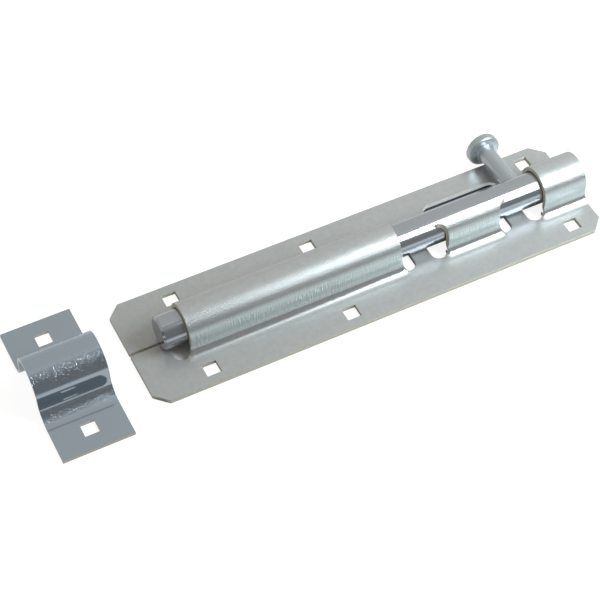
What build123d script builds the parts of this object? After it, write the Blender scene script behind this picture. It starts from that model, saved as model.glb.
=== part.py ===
from build123d import *

import os
from math import acos, asin, atan2, cos, degrees, hypot, pi, sin

# A padbolt: a round bolt that slides in one folded sheet plate, its pin handle, and the keep
# that the bolt shoots into. All lengths are in millimetres.
# X runs along the bolt, from the keep to the plate's closed end. +Y is the side that the handle
# points to when the bolt is drawn back, and +Z is away from the door. The back of the plate and
# of the keep lie on z = 0, and the origin is the centre of the whole footprint on that plane.

# Bolt rod
rod_diameter = 16.0
rod_chamfer = 0.9
rod_left_inset = 14.0
rod_right_inset = 4.0
rod_floor_gap = 0.2

# Folded plate
plate_length = 230.0
plate_width = 60.0
plate_sheet = 2.0
plate_corner_cut = 6.2
plate_bend = 5.5
guide_clearance = 0.4
seam_gap = 1.3
seam_offset = 0.8

# Stations along the plate, from its left end
barrel_start = 25.0
barrel_length = 106.0
first_window = 24.5
half_collar_length = 27.2
end_collar_length = 22.5

# Half collar: how far its free edge stops short of the rod's crest, and the round corners of the
# two windows, which leave a horn at each end of that edge
free_edge_offset = 5.5
horn_radius = 4.5
horn_tip = 0.4

# Relief holes where a wall is folded up. They end short of the fold's foot, so past the wall the
# rest of the fold runs out into the flat.
relief_width = 7.8
relief_past_wall = 2.0
run_out_length = 3.0

# Square holes for cup-head bolts
hole_side = 6.8
hole_edge_distance = 8.0
first_hole = 29.3
second_hole = 98.8
last_hole_from_end = 14.0

# Slot for the padlock's shackle, from beside the half collar to the end collar's relief
slot_width = 9.0
slot_past_rod = 2.2
slot_past_half_collar = 1.5
slot_short_of_relief = 1.7

# Pin handle
stem_diameter = 8.3
stem_seat_clearance = 0.06
head_diameter = 16.5
head_height = 5.8
head_reach = 37.8
head_dome = 1.6
head_edge_round = 1.3
neck_fillet = 1.0
head_door_gap = 0.1
handle_parking_gap = 3.3

# Keep
keep_length = 76.0
keep_width = 33.4
keep_sheet = 1.5
keep_gap = 13.8
keep_clearance = 2.5
keep_lift = 0.4
keep_bend = 8.0
keep_hole_spacing = 54.0

# Places worked out from the sizes
rod_radius = rod_diameter / 2
axis_height = plate_sheet + rod_floor_gap + rod_radius
guide_inside = rod_radius + guide_clearance
guide_outside = guide_inside + plate_sheet
bend_end = guide_outside + plate_bend
relief_end = guide_outside + relief_past_wall
seam_near = seam_offset - seam_gap / 2
seam_far = seam_offset + seam_gap / 2

plate_left = (keep_gap + keep_width - plate_length) / 2
plate_right = plate_left + plate_length
plate_middle = (plate_left + plate_right) / 2
barrel_left = plate_left + barrel_start
barrel_right = barrel_left + barrel_length
half_collar_left = barrel_right + first_window
half_collar_right = half_collar_left + half_collar_length
end_collar_left = plate_right - end_collar_length
slot_left = half_collar_left + slot_past_half_collar
slot_right = end_collar_left - relief_width - slot_short_of_relief
keep_middle = plate_left - keep_gap - keep_width / 2

rod_left = plate_left + rod_left_inset
rod_right = plate_right - rod_right_inset
handle_x = end_collar_left - handle_parking_gap - stem_diameter / 2


def mirrored_corners(section, offset, height):
    """The two corners of a section that lie at one height, the same distance from its middle."""
    places = [Vector(side * offset, height) for side in (-1, 1)]
    return [section.vertices().sort_by_distance(place)[0] for place in places]


def round_topped(radius, centre_height):
    """A solid arch shape: straight sides up to the centre height, and a half circle on top."""
    sides = Pos(0, centre_height / 2) * Rectangle(2 * radius, centre_height)
    upper_half = Pos(0, centre_height + radius / 2) * Rectangle(2 * radius, radius)
    return sides + (Pos(0, centre_height) * Circle(radius) & upper_half)


def arch_section(half_width, sheet, inside_radius, centre_height, bend):
    """The folded sheet cut across: a flat foot each side and a round-topped arch between them."""
    outside_radius = inside_radius + sheet
    foot = Pos(0, sheet / 2) * Rectangle(2 * half_width, sheet)
    hump = round_topped(outside_radius, centre_height)
    hollow = round_topped(inside_radius, centre_height)
    section = foot + hump - hollow
    section = fillet(mirrored_corners(section, outside_radius, sheet), bend)
    return fillet(mirrored_corners(section, inside_radius, 0), bend + sheet)


def along_bolt(section, start, end):
    """A section drawn with its width along Y and its height along Z, extruded from start to end."""
    standing = Plane(origin=(start, 0, 0), x_dir=(0, 1, 0), z_dir=(1, 0, 0)) * section
    return extrude(standing, end - start)


def plan(shape, low, high):
    """A shape drawn in plan, as a block from one height to another."""
    return extrude(Pos(0, 0, low) * shape, high - low)


def plan_box(x_start, x_end, y_start, y_end):
    """A rectangle in plan, from its corners."""
    middle = Pos((x_start + x_end) / 2, (y_start + y_end) / 2)
    return middle * Rectangle(x_end - x_start, y_end - y_start)


def relief(x_start, near_side, far_side):
    """A relief hole in plan: open at the seam, with a round end past each fold that it frees."""
    near = -relief_end if near_side else seam_near
    far = relief_end if far_side else seam_far
    hole = plan_box(x_start, x_start + relief_width, near, far)
    ends = hole.vertices().filter_by(lambda v: abs(v.Y) > guide_outside)
    return fillet(ends, relief_width / 2 - 0.01)


def square_holes(x_positions, row_offset):
    """Square bolt holes in plan, in two rows the same distance from the centre line."""
    hole = Rectangle(hole_side, hole_side)
    return [Pos(x, side * row_offset) * hole for x in x_positions for side in (-1, 1)]


def flat_plate():
    """The flat of the plate: its outline with the holes, the seam and the room for the folds."""
    middle = Pos(plate_middle, 0)
    outline = middle * Rectangle(plate_length, plate_width)
    outline = chamfer(outline.vertices(), plate_corner_cut)
    outline -= plan_box(plate_left, end_collar_left, seam_near, seam_far)
    outline -= plan_box(barrel_left, barrel_right, -bend_end, bend_end)
    outline -= plan_box(end_collar_left, plate_right, -bend_end, bend_end)
    outline -= plan_box(half_collar_left, half_collar_right, -bend_end, seam_far)
    outline -= relief(barrel_left - relief_width, True, True)
    outline -= relief(barrel_right, True, True)
    outline -= relief(half_collar_left - relief_width, True, False)
    outline -= relief(half_collar_right, True, False)
    outline -= relief(end_collar_left - relief_width, True, True)
    stations = [
        plate_left + first_hole,
        plate_left + second_hole,
        plate_right - last_hole_from_end,
    ]
    outline -= square_holes(stations, plate_width / 2 - hole_edge_distance)
    slot_x = (slot_left + slot_right) / 2
    slot_y = rod_radius + slot_past_rod + slot_width / 2
    outline -= Pos(slot_x, slot_y) * SlotOverall(slot_right - slot_left, slot_width)
    return plan(outline, 0, plate_sheet)


def run_out(wall_end, flat_start, side):
    """The foot of a fold where it runs out into the flat, from its wall's end to the flat's start."""
    inner = side * guide_outside
    outer = side * bend_end
    fold_top = plate_sheet + plate_bend
    middle_y = outer - side * plate_bend * cos(pi / 4)
    middle_z = fold_top - plate_bend * sin(pi / 4)
    at_wall = Polyline(
        (wall_end, outer, plate_sheet),
        (wall_end, outer, 0),
        (wall_end, inner, 0),
        (wall_end, inner, fold_top),
    )
    curve = ThreePointArc(
        (wall_end, inner, fold_top),
        (wall_end, middle_y, middle_z),
        (wall_end, outer, plate_sheet),
    )
    at_flat = Polyline(
        (flat_start, outer, plate_sheet),
        (flat_start, outer, 0),
        (flat_start, inner, 0),
        (flat_start, inner, plate_sheet),
        close=True,
    )
    foot = loft([make_face(at_wall + curve), make_face(at_flat)], ruled=True)
    hole_start = wall_end if flat_start > wall_end else wall_end - relief_width
    return foot - plan(relief(hole_start, True, True), -plate_sheet, 2 * fold_top)


def half_collar(section):
    """The middle guide: it curls up from the near side only and stops short of the crest."""
    horn_left = half_collar_left - horn_radius
    horn_right = half_collar_right + horn_radius
    top = 2 * (axis_height + guide_outside)
    curl = along_bolt(section, horn_left, horn_right)
    far_part = plan_box(horn_left, horn_right, -free_edge_offset, plate_width)
    curl -= plan(far_part, -plate_sheet, top)
    corner_y = -free_edge_offset - horn_tip - horn_radius
    for horn_x, inner_x in ((horn_left, half_collar_left), (horn_right, half_collar_right)):
        window = Pos(horn_x, corner_y) * Circle(horn_radius)
        window += plan_box(min(horn_x, inner_x), max(horn_x, inner_x), -plate_width, corner_y)
        curl -= plan(window, -plate_sheet, top)
    return curl


def bolt_plate():
    """The whole plate, folded from one sheet: barrel, half collar and end collar."""
    section = arch_section(bend_end + plate_sheet, plate_sheet, guide_inside, axis_height, plate_bend)
    plate = flat_plate()
    plate += along_bolt(section, barrel_left, barrel_right)
    plate += along_bolt(section, end_collar_left, plate_right)
    plate += half_collar(section)
    for side in (-1, 1):
        plate += run_out(barrel_left, barrel_left - run_out_length, side)
        plate += run_out(barrel_right, barrel_right + run_out_length, side)
        plate += run_out(end_collar_left, end_collar_left - run_out_length, side)
    plate += run_out(half_collar_left, half_collar_left - run_out_length, -1)
    plate += run_out(half_collar_right, half_collar_right + run_out_length, -1)
    return plate


def bolt_rod():
    """The round bolt, chamfered at both ends."""
    length = rod_right - rod_left
    bar = Cylinder(rod_radius, length, rotation=(0, 90, 0))
    bar = chamfer(bar.edges().filter_by(GeomType.CIRCLE), rod_chamfer)
    return Pos((rod_left + rod_right) / 2, 0, axis_height) * bar


def handle():
    """The pin handle: a turned stem with a domed head, hanging until the head meets the door."""
    stem_radius = stem_diameter / 2
    head_radius = head_diameter / 2
    under_head = head_reach - head_height
    shoulder = head_reach - head_dome
    profile = Polyline(
        (0, 0),
        (stem_radius, 0),
        (stem_radius, under_head),
        (head_radius, under_head),
        (head_radius, shoulder),
    )
    dome_radius = (head_radius**2 + head_dome**2) / (2 * head_dome)
    rim_angle = degrees(acos(head_radius / dome_radius))
    dome = CenterArc((0, head_reach - dome_radius), dome_radius, rim_angle, 90 - rim_angle)
    face = make_face(profile + dome + Line((0, head_reach), (0, 0)))
    neck = face.vertices().sort_by_distance((stem_radius, under_head))[0]
    face = fillet(neck, neck_fillet)
    rims = [(head_radius, under_head), (head_radius, shoulder)]
    for rim in rims:
        corner = face.vertices().sort_by_distance(rim)[0]
        face = fillet(corner, head_edge_round)
    pin = revolve(Plane.XY * face, Axis.Y)
    lowest = asin((axis_height - head_door_gap) / hypot(shoulder, head_radius))
    droop = degrees(lowest - atan2(head_radius, shoulder))
    pin = Pos(handle_x, 0, axis_height) * Rot(-droop, 0, 0) * pin
    seat = Cylinder(rod_radius + stem_seat_clearance, 2 * head_diameter, rotation=(0, 90, 0))
    return pin - Pos(handle_x, 0, axis_height) * seat


def keep():
    """The keep: a staple folded from one strip, with a square hole in each foot."""
    inside = rod_radius + keep_clearance
    section = arch_section(keep_length / 2, keep_sheet, inside, axis_height + keep_lift, keep_bend)
    strip = along_bolt(section, keep_middle - keep_width / 2, keep_middle + keep_width / 2)
    for hole in square_holes([keep_middle], keep_hole_spacing / 2):
        strip -= plan(hole, -keep_sheet, 2 * keep_sheet)
    return strip


os.makedirs("parts", exist_ok=True)
nodes = {"bolt_plate": bolt_plate, "bolt_rod": bolt_rod, "handle": handle, "keep": keep}
for name, make in nodes.items():
    export_step(make(), f"parts/{name}.step")
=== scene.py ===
import math

import bmesh
import bpy
from mathutils import Matrix, Vector

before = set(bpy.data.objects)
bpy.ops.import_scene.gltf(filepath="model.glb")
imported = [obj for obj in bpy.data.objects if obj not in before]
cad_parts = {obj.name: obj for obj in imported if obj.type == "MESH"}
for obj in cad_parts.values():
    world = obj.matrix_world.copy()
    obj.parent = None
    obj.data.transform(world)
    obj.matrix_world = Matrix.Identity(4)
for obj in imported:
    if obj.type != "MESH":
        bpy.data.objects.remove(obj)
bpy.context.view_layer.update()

# A padbolt in zinc-plated steel: one folded sheet plate, a round bright bar with its pin handle, and
# the keep. All four pieces keep the shapes that model.glb gives them, and this script gives them their
# finishes, the light and the camera. Lengths are in metres, written as millimetres times MM.
MM = 0.001

# Camera, fitted to the corners and holes of the plate in the photograph
VIEW_AZIMUTH = math.radians(-26.726)
VIEW_ELEVATION = math.radians(50.895)
VIEW_ROLL = math.radians(-0.117)
VIEW_TARGET = Vector((-9.38, -3.62, 0.0)) * MM
VIEW_DISTANCE = 769.1 * MM
SENSOR_WIDTH = 36.0
LENS = 101.47
CLIP_START = 10 * MM
CLIP_END = 20.0

# Sizes that the finishes follow: the sheet's thickness, the height of a fold's top, the height from
# which the half collar's wall leans inwards, and the radius that a blanked edge is worn to
SHEET = 2.0 * MM
FOLD_TOP = 7.5 * MM
ARCH_SHOULDER = 12.6 * MM
EDGE_WEAR = 0.4 * MM

# Rectangles seen from above, in millimetres, along X and then along Y: the floor under the padlock slot
# and the floor under the seam and the first relief, where the floor gets a painted shadow, the floor
# under the whole plate, and the part of the plate that surrounds the padlock slot
UNDER_SLOT = ((60, 107.4), (8, 21))
UNDER_SEAM = ((-91, -40), (-13, 13))
UNDER_PLATE = ((-91, 138), (-29, 29))
ROUND_SLOT = ((62, 110), (-25, 25))

# Most of a noise's values lie between these two
NOISE_LOW = 0.3
NOISE_HIGH = 0.7

# Every pattern is turned about the bolt, so that the grid of its noise doesn't show as rows along
# the upright walls
PATTERN_TURN = (0.6, 0.0, 0.0)

# The floor lies this far below the plate and reaches this far to each side
FLOOR_DROP = 0.1 * MM
FLOOR_REACH = 3.0

# The lamps give a slightly cool daylight
LAMP_COLOUR = "#ECF9FF"


def linear(hex_colour):
    """An sRGB hex colour as linear red, green, blue and alpha."""
    coded = [int(hex_colour[start:start + 2], 16) / 255 for start in (1, 3, 5)]
    light = [c / 12.92 if c <= 0.04045 else ((c + 0.055) / 1.055) ** 2.4 for c in coded]
    return (*light, 1.0)


def add(tree, kind, inputs=None, **settings):
    """Adds a node with its settings. An input is a value, a socket, or a node for its first output."""
    node = tree.nodes.new("ShaderNode" + kind)
    for name, value in settings.items():
        setattr(node, name, value)
    for socket, value in (inputs or {}).items():
        if isinstance(value, bpy.types.Node):
            value = value.outputs[0]
        if isinstance(value, bpy.types.NodeSocket):
            tree.links.new(value, node.inputs[socket])
        else:
            node.inputs[socket].default_value = value
    return node


def new_material(name):
    """A material without nodes, and its node tree."""
    material = bpy.data.materials.new(name)
    material.use_nodes = True
    material.node_tree.nodes.clear()
    return material, material.node_tree


def finish_node(node_name, material):
    """Puts a finish in every material slot of a piece."""
    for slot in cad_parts[node_name].material_slots:
        slot.material = material


def position(tree):
    """Where a spot of the surface lies, along X, Y and Z."""
    place = add(tree, "TexCoord")
    return add(tree, "SeparateXYZ", {"Vector": place.outputs["Object"]})


def facing(tree):
    """Which way a spot of the surface faces, along X, Y and Z."""
    place = add(tree, "TexCoord")
    return add(tree, "SeparateXYZ", {"Vector": place.outputs["Normal"]})


def grain(tree, size, detail=2.0):
    """Noise whose grains measure the given millimetres along X, Y and Z, from 0 to 1."""
    place = add(tree, "TexCoord")
    fitted = add(tree, "Mapping", {
        "Vector": place.outputs["Object"],
        "Scale": Vector([1 / (length * MM) for length in size]),
        "Rotation": PATTERN_TURN,
    })
    return add(tree, "TexNoise", {"Vector": fitted, "Scale": 1.0, "Detail": detail})


def ripples(tree, size, share, detail=2.0):
    """Noise as a height about zero, from -0.5 to 0.5, times a share that fades it out."""
    centred = add(tree, "Math", {0: grain(tree, size, detail), 1: 0.5}, operation="SUBTRACT")
    return add(tree, "Math", {0: centred, 1: share}, operation="MULTIPLY")


def in_box(tree, spot, rectangle):
    """1 inside a rectangle seen from above, and 0 elsewhere."""
    shares = []
    for axis, (low, high) in zip("XY", rectangle):
        middle = (low + high) / 2 * MM
        reach = (high - low) / 2 * MM
        within = add(tree, "Math", {0: spot.outputs[axis], 1: middle, 2: reach}, operation="COMPARE")
        shares.append(within)
    return add(tree, "Math", {0: shares[0], 1: shares[1]}, operation="MULTIPLY")


def fold_lean(tree):
    """How far the sheet leans across the bolt: 0 on a flat or a crest, 1 on an upright wall."""
    return add(tree, "Math", {0: facing(tree).outputs["Y"]}, operation="ABSOLUTE")


def cut_edges(tree):
    """1 on the sheared faces of the sheet, where steel shows through the zinc, and 0 elsewhere."""
    facing_share = 0.5
    sheer_share = 0.12
    flat_top = SHEET * 1.01
    spot = position(tree)
    way = facing(tree)
    level = add(tree, "Math", {0: way.outputs["Z"]}, operation="ABSOLUTE")
    along = add(tree, "Math", {0: way.outputs["X"]}, operation="ABSOLUTE")
    # In the flat, the outline and the walls of the holes stand upright
    upright = add(tree, "Math", {0: level, 1: facing_share}, operation="LESS_THAN")
    in_flat = add(tree, "Math", {0: spot.outputs["Z"], 1: flat_top}, operation="LESS_THAN")
    flat_edge = add(tree, "Math", {0: upright, 1: in_flat}, operation="MULTIPLY")
    # The ends of the arches face along the bolt
    end_face = add(tree, "Math", {0: along, 1: facing_share}, operation="GREATER_THAN")
    # The free edge of the half collar stands upright where the arch around it leans
    sheer = add(tree, "Math", {0: level, 1: sheer_share}, operation="LESS_THAN")
    in_arch = add(tree, "Math", {0: spot.outputs["Z"], 1: ARCH_SHOULDER}, operation="GREATER_THAN")
    free_edge = add(tree, "Math", {0: sheer, 1: in_arch}, operation="MULTIPLY")
    either = add(tree, "Math", {0: flat_edge, 1: end_face}, operation="MAXIMUM")
    return add(tree, "Math", {0: either, 1: free_edge}, operation="MAXIMUM")


def folded_walls(tree):
    """1 on the walls that the folding die has scored and that carry a painted reflection, fading to 0
    on the flats and the crests.
    """
    return add(tree, "MapRange", {"Value": fold_lean(tree), "From Min": 0.85, "From Max": 0.97})


def matt_arches(tree):
    """1 on the arches, where the stretched sheet turned matt, and 0 below the folds' tops. The die
    rubbed the arches' shoulders, so they are less matt than the crests."""
    stretched = add(tree, "MapRange", {
        "Value": position(tree).outputs["Z"],
        "From Min": FOLD_TOP - 1 * MM,
        "From Max": FOLD_TOP + 2 * MM,
    })
    unrubbed = add(tree, "MapRange", {
        "Value": fold_lean(tree),
        "From Min": 0.66,
        "From Max": 0.9,
        "To Min": 1.0,
        "To Max": 0.35,
    })
    return add(tree, "Math", {0: stretched, 1: unrubbed}, operation="MULTIPLY")


def burnished_feet(tree, walls):
    """1 on the steep part of each fold, which the die has burnished, and 0 on the flats and walls."""
    leaning = add(tree, "MapRange", {"Value": fold_lean(tree), "From Min": 0.45, "From Max": 0.62})
    off_walls = add(tree, "Math", {0: 1.0, 1: walls}, operation="SUBTRACT")
    return add(tree, "Math", {0: leaning, 1: off_walls}, operation="MULTIPLY")


def sheet_colour(tree, cut, walls):
    """Grey zinc with a faint spangle, paler and cooler on the walls as a painted reflection, and tan
    steel on the sheared edges.
    """
    spangle = grain(tree, (2.5, 2.5, 2.5))
    tone = add(tree, "MapRange", {"Value": spangle, "From Min": NOISE_LOW, "From Max": NOISE_HIGH})
    zinc = add(tree, "MixRGB", {"Fac": tone, "Color1": linear("#B1B2B1"), "Color2": linear("#B8B9B8")})
    # The walls are painted paler and cooler than the zinc: a painted reflection of the cool light they
    # face
    plated = add(tree, "MixRGB", {"Fac": walls, "Color1": zinc, "Color2": linear("#CBD2D1")})
    # Around the padlock slot the zinc covers the sheared wall, and only its upper rim is tan. The
    # covered wall is painted as pale and cool as the other walls, a painted reflection
    spot = position(tree)
    low = add(tree, "MapRange", {
        "Value": spot.outputs["Z"],
        "From Min": SHEET * 0.75,
        "From Max": SHEET * 0.45,
    })
    covered = add(tree, "Math", {0: low, 1: in_box(tree, spot, ROUND_SLOT)}, operation="MULTIPLY")
    sheared = add(tree, "MixRGB", {
        "Fac": covered,
        "Color1": linear("#D6CFBE"),
        "Color2": linear("#C6D0D6"),
    })
    return add(tree, "MixRGB", {"Fac": cut, "Color1": plated, "Color2": sheared})


def sheet_relief(tree, cut, walls, matt):
    """The rolled grain, strongest on the arches, the streaks down the walls and the worn edges."""
    # The real grain and streaks are about 0.1 mm wide. Both are drawn as coarse as they need to show.
    grain_size = (0.7, 0.5, 0.5)
    streak_size = (0.7, 5.0, 5.0)
    streak_height = 1.6
    grain_height = add(tree, "MapRange", {"Value": matt, "To Min": 0.25, "To Max": 0.9})
    rolled = ripples(tree, grain_size, grain_height)
    scored = add(tree, "Math", {0: walls, 1: streak_height}, operation="MULTIPLY")
    streaks = ripples(tree, streak_size, scored, detail=1.0)
    height = add(tree, "Math", {0: rolled, 1: streaks}, operation="ADD")
    worn = add(tree, "Bevel", {"Radius": EDGE_WEAR}, samples=4)
    plated = add(tree, "Math", {0: 1.0, 1: cut}, operation="SUBTRACT")
    return add(tree, "Bump", {
        "Height": height,
        "Distance": 0.17 * MM,
        "Strength": plated,
        "Normal": worn,
    })


def zinc_sheet():
    """Zinc-plated cold-rolled sheet, folded: satin grey with a fine grain, and tan sheared edges."""
    # Roughness of the flats, the burnished feet and the arches, and how much rougher a cut edge is
    flat_rough = 0.28
    foot_rough = 0.11
    arch_rough = 0.32
    cut_rougher = 0.2
    # Metallic share of the zinc, of the burnished feet and of the steel on a cut edge
    zinc_metallic = 0.45
    foot_metallic = 0.65
    cut_metallic = 0.2
    material, tree = new_material("satin_zinc_sheet")
    cut = cut_edges(tree)
    walls = folded_walls(tree)
    matt = matt_arches(tree)
    foot = burnished_feet(tree, walls)
    smooth = add(tree, "MapRange", {"Value": foot, "To Min": flat_rough, "To Max": foot_rough})
    plated = add(tree, "MapRange", {"Value": matt, "To Min": smooth, "To Max": arch_rough})
    rough = add(tree, "Math", {0: cut, 1: cut_rougher, 2: plated}, operation="MULTIPLY_ADD")
    burnished = add(tree, "MapRange", {"Value": foot, "To Min": zinc_metallic, "To Max": foot_metallic})
    zinc = add(tree, "MapRange", {"Value": matt, "To Min": burnished, "To Max": zinc_metallic})
    metallic = add(tree, "MapRange", {"Value": cut, "To Min": zinc, "To Max": cut_metallic})
    shader = add(tree, "BsdfPrincipled", {
        "Base Color": sheet_colour(tree, cut, walls),
        "Metallic": metallic,
        "Roughness": rough,
        "Normal": sheet_relief(tree, cut, walls, matt),
    })
    add(tree, "OutputMaterial", {"Surface": shader})
    return material


def bright_bar():
    """Bright zinc on cold-drawn bar: nearly a mirror, a little blue, with faint draw lines."""
    material, tree = new_material("bright_zinc_bar")
    # Real draw lines are far finer than 0.5 mm. They are drawn as coarse as they need to show.
    lines = grain(tree, (40.0, 0.5, 0.5), detail=1.0)
    rough = add(tree, "MapRange", {
        "Value": lines,
        "From Min": NOISE_LOW,
        "From Max": NOISE_HIGH,
        "To Min": 0.08,
        "To Max": 0.17,
    })
    shader = add(tree, "BsdfPrincipled", {
        "Base Color": linear("#B4B8BE"),
        "Metallic": 0.85,
        "Roughness": rough,
        "Normal": add(tree, "Bump", {"Height": lines, "Distance": 0.006 * MM, "Strength": 0.5}),
    })
    add(tree, "OutputMaterial", {"Surface": shader})
    return material


def turned_pin():
    """Satin zinc on a turned pin: softer than the bar, and blue-grey."""
    material, tree = new_material("satin_zinc_pin")
    # The real matt grain is far finer than 0.8 mm. It is drawn as coarse as it needs to show.
    matt = grain(tree, (0.8, 0.8, 0.8))
    rough = add(tree, "MapRange", {
        "Value": matt,
        "From Min": NOISE_LOW,
        "From Max": NOISE_HIGH,
        "To Min": 0.32,
        "To Max": 0.38,
    })
    shader = add(tree, "BsdfPrincipled", {
        "Base Color": linear("#BDC3C7"),
        "Metallic": 0.8,
        "Roughness": rough,
        "Normal": add(tree, "Bump", {"Height": matt, "Distance": 0.001 * MM, "Strength": 0.5}),
    })
    add(tree, "OutputMaterial", {"Surface": shader})
    return material


def glossy_strip():
    """Bright zinc on folded strip: glossy and blue-grey, rippled where the strip was bent."""
    material, tree = new_material("glossy_zinc_strip")
    lean = fold_lean(tree)
    off_walls = add(tree, "MapRange", {"Value": lean, "From Min": 0.93, "From Max": 0.82})
    off_flats = add(tree, "MapRange", {"Value": lean, "From Min": 0.1, "From Max": 0.3})
    bends = add(tree, "Math", {0: off_walls, 1: off_flats}, operation="MULTIPLY")
    # The real skin ripples at about 0.2 mm. It is drawn as coarse as it needs to show.
    skin = grain(tree, (0.6, 0.6, 0.6), detail=1.0)
    peaks = add(tree, "MapRange", {"Value": skin, "From Min": 0.5, "From Max": 0.8})
    ripple = add(tree, "Math", {0: peaks, 1: bends}, operation="MULTIPLY")
    rough = add(tree, "MapRange", {
        "Value": ripple,
        "From Min": 0.3,
        "From Max": 0.7,
        "To Min": 0.09,
        "To Max": 0.18,
    })
    colour = add(tree, "MixRGB", {
        "Fac": cut_edges(tree),
        "Color1": linear("#AFBAC5"),
        "Color2": linear("#BDB8A8"),
    })
    shader = add(tree, "BsdfPrincipled", {
        "Base Color": colour,
        "Metallic": 0.85,
        "Roughness": rough,
        "Normal": add(tree, "Bump", {"Height": ripple, "Distance": 0.07 * MM, "Strength": 1.0}),
    })
    add(tree, "OutputMaterial", {"Surface": shader})
    return material


def paper_glow(tree, spot, slot, seam):
    """How strongly the paper shines by itself: to the camera, except in painted shadow under the slot
    and the seam, to the metal, and up into the slot as a hidden light.
    """
    camera_white = 0.88
    metal_white = 0.5
    slot_white = 0.8
    near_edge = -115 * MM
    edge_blur = 20 * MM
    path = add(tree, "LightPath")
    seen = path.outputs["Is Camera Ray"]
    # The camera sees white paper, except under the slot and the seam, where the glow is taken out as a
    # painted shadow
    shadow = add(tree, "Math", {0: slot, 1: seam}, operation="MAXIMUM")
    lit = add(tree, "Math", {0: 1.0, 1: shadow}, operation="SUBTRACT")
    to_camera = add(tree, "Math", {0: seen, 1: camera_white}, operation="MULTIPLY")
    shown = add(tree, "Math", {0: to_camera, 1: lit}, operation="MULTIPLY")
    # The metal mirrors the paper around the plate, and only as far as the paper's near edge
    bright = add(tree, "MapRange", {
        "Value": spot.outputs["Y"],
        "From Min": near_edge - edge_blur,
        "From Max": near_edge,
        "To Max": metal_white,
    })
    to_metal = add(tree, "Math", {0: path.outputs["Is Glossy Ray"], 1: bright}, operation="MULTIPLY")
    under_plate = in_box(tree, spot, UNDER_PLATE)
    around_plate = add(tree, "Math", {0: 1.0, 1: under_plate}, operation="SUBTRACT")
    mirrored = add(tree, "Math", {0: to_metal, 1: around_plate}, operation="MULTIPLY")
    # The paper under the slot glows as a hidden light, which the camera itself doesn't see, so the
    # walls of the padlock slot catch light from below
    unseen = add(tree, "Math", {0: 1.0, 1: seen}, operation="SUBTRACT")
    from_slot = add(tree, "Math", {0: slot, 1: slot_white}, operation="MULTIPLY")
    slot_glow = add(tree, "Math", {0: from_slot, 1: unseen}, operation="MULTIPLY")
    glows = add(tree, "Math", {0: shown, 1: mirrored}, operation="MAXIMUM")
    return add(tree, "Math", {0: glows, 1: slot_glow}, operation="MAXIMUM")


def white_floor():
    """White paper: matt, with a painted shadow where the plate's openings show it in full shadow:
    painted dark under the slot, and paler but without its glow under the seam.
    """
    material, tree = new_material("white_floor")
    spot = position(tree)
    slot = in_box(tree, spot, UNDER_SLOT)
    seam = in_box(tree, spot, UNDER_SEAM)
    # Painted shadow: the paper is painted dark under the slot. Under the seam it is paler, and without
    # its glow it shows its own light and shade
    pale = add(tree, "MixRGB", {"Fac": seam, "Color1": linear("#8C8C8C"), "Color2": linear("#D8D8D8")})
    tone = add(tree, "MixRGB", {"Fac": slot, "Color1": pale, "Color2": linear("#404244")})
    paper = add(tree, "BsdfDiffuse", {"Color": tone})
    strength = paper_glow(tree, spot, slot, seam)
    glow = add(tree, "Emission", {"Color": linear("#FFFFFF"), "Strength": strength})
    both = add(tree, "AddShader", {0: paper, 1: glow})
    add(tree, "OutputMaterial", {"Surface": both})
    return material


def floor():
    """The floor, which shows white to the camera and keeps the shadow of the object."""
    shape = bmesh.new()
    bmesh.ops.create_grid(shape, x_segments=1, y_segments=1, size=FLOOR_REACH)
    mesh = bpy.data.meshes.new("floor")
    shape.to_mesh(mesh)
    shape.free()
    mesh.materials.append(white_floor())
    plane = bpy.data.objects.new("floor", mesh)
    plane.location.z = -FLOOR_DROP
    bpy.context.scene.collection.objects.link(plane)


def room():
    """The room as the metal sees it: pale grey overhead and behind, dark low down on the near side."""
    world = bpy.data.worlds.new("room")
    bpy.context.scene.world = world
    world.use_nodes = True
    tree = world.node_tree
    tree.nodes.clear()
    way = add(tree, "TexCoord")
    axes = add(tree, "SeparateXYZ", {"Vector": way.outputs["Generated"]})
    # The share of a direction across the bolt, from 1 towards the far side to -1 towards the near
    across = add(tree, "CombineXYZ", {"Y": axes.outputs["Y"], "Z": axes.outputs["Z"]})
    unit = add(tree, "VectorMath", {0: across}, operation="NORMALIZE")
    share = add(tree, "SeparateXYZ", {"Vector": unit}).outputs["Y"]
    # From dark to pale: a long fade, and a soft edge just on the near side of upright
    fade = add(tree, "MapRange", {"Value": share, "From Min": -0.7, "From Max": -0.1, "To Max": 0.6})
    edge = add(tree, "MapRange", {"Value": share, "From Min": -0.14, "From Max": -0.06, "To Max": 0.4})
    ramp = add(tree, "Math", {0: fade, 1: edge}, operation="ADD")
    # The pale part is brighter overhead and towards the right-hand end, where the main lamp stands
    right = add(tree, "MapRange", {"Value": axes.outputs["X"], "From Min": 0.0, "From Max": 0.5})
    overhead = add(tree, "MapRange", {"Value": share, "From Min": 0.3, "From Max": 0.0})
    brighter = add(tree, "Math", {0: right, 1: overhead}, operation="MAXIMUM")
    pale = add(tree, "MixRGB", {
        "Fac": brighter,
        "Color1": linear("#C2C1BB"),
        "Color2": linear("#D2D1CC"),
    })
    shade = add(tree, "MixRGB", {"Fac": ramp, "Color1": linear("#72706D"), "Color2": pale})
    to_metal = add(tree, "Background", {"Color": shade, "Strength": 1.0})
    to_camera = add(tree, "Background", {"Color": linear("#FFFFFF"), "Strength": 1.0})
    path = add(tree, "LightPath")
    mixed = add(tree, "MixShader", {"Fac": path.outputs["Is Camera Ray"], 1: to_metal, 2: to_camera})
    add(tree, "OutputWorld", {"Surface": mixed})


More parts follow.
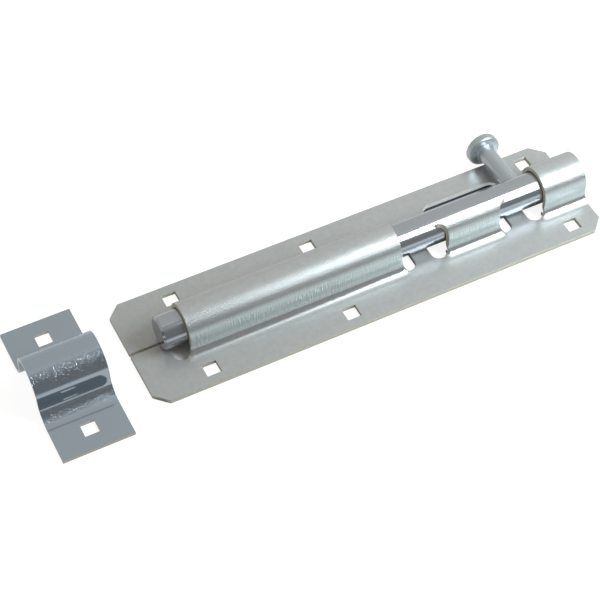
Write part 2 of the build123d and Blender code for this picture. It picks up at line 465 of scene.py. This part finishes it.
def softbox(name, place, target, width, height, radiance):
    """An oval lamp, set by the brightness of its face, with its width along the bolt. Its place, its
    target and its size are in metres."""
    face_area = math.pi / 4 * width * height
    lamp = bpy.data.lights.new(name, "AREA")
    lamp.shape = "ELLIPSE"
    lamp.size = width
    lamp.size_y = height
    lamp.energy = radiance * math.pi * face_area
    lamp.color = linear(LAMP_COLOUR)[:3]
    back = (Vector(place) - Vector(target)).normalized()
    side = (Vector((1, 0, 0)) - back * back.x).normalized()
    up = back.cross(side)
    turn = Matrix((side, up, back)).transposed().to_4x4()
    box = bpy.data.objects.new(name, lamp)
    box.matrix_world = Matrix.Translation(Vector(place)) @ turn
    box.visible_camera = False
    bpy.context.scene.collection.objects.link(box)


def lamps():
    """A large softbox to the right, and a small one nearer the middle, which the barrel mirrors.
    Both stand on the camera's side."""
    softbox(
        "main_softbox",
        place=(0.33, -0.205, 0.36),
        target=(0.07, 0.0, 0.01),
        width=0.34,
        height=0.36,
        radiance=10.8,
    )
    softbox(
        "side_strip",
        place=(0.105, -0.14, 0.375),
        target=(0.0, 0.0, 0.01),
        width=0.16,
        height=0.09,
        radiance=2.0,
    )


def camera():
    """The camera of the photograph."""
    back = Vector((
        math.sin(VIEW_AZIMUTH) * math.cos(VIEW_ELEVATION),
        -math.cos(VIEW_AZIMUTH) * math.cos(VIEW_ELEVATION),
        math.sin(VIEW_ELEVATION),
    ))
    data = bpy.data.cameras.new("camera")
    data.sensor_width = SENSOR_WIDTH
    data.lens = LENS
    data.clip_start = CLIP_START
    data.clip_end = CLIP_END
    body = bpy.data.objects.new("camera", data)
    turned = (-back).to_track_quat("-Z", "Y").to_matrix().to_4x4() @ Matrix.Rotation(VIEW_ROLL, 4, "Z")
    body.matrix_world = Matrix.Translation(VIEW_TARGET + back * VIEW_DISTANCE) @ turned
    bpy.context.scene.collection.objects.link(body)
    bpy.context.scene.camera = body


finish_node("bolt_plate", zinc_sheet())
finish_node("bolt_rod", bright_bar())
finish_node("handle", turned_pin())
finish_node("keep", glossy_strip())
floor()
room()
lamps()
camera()
bpy.context.scene.view_settings.view_transform = "Standard"
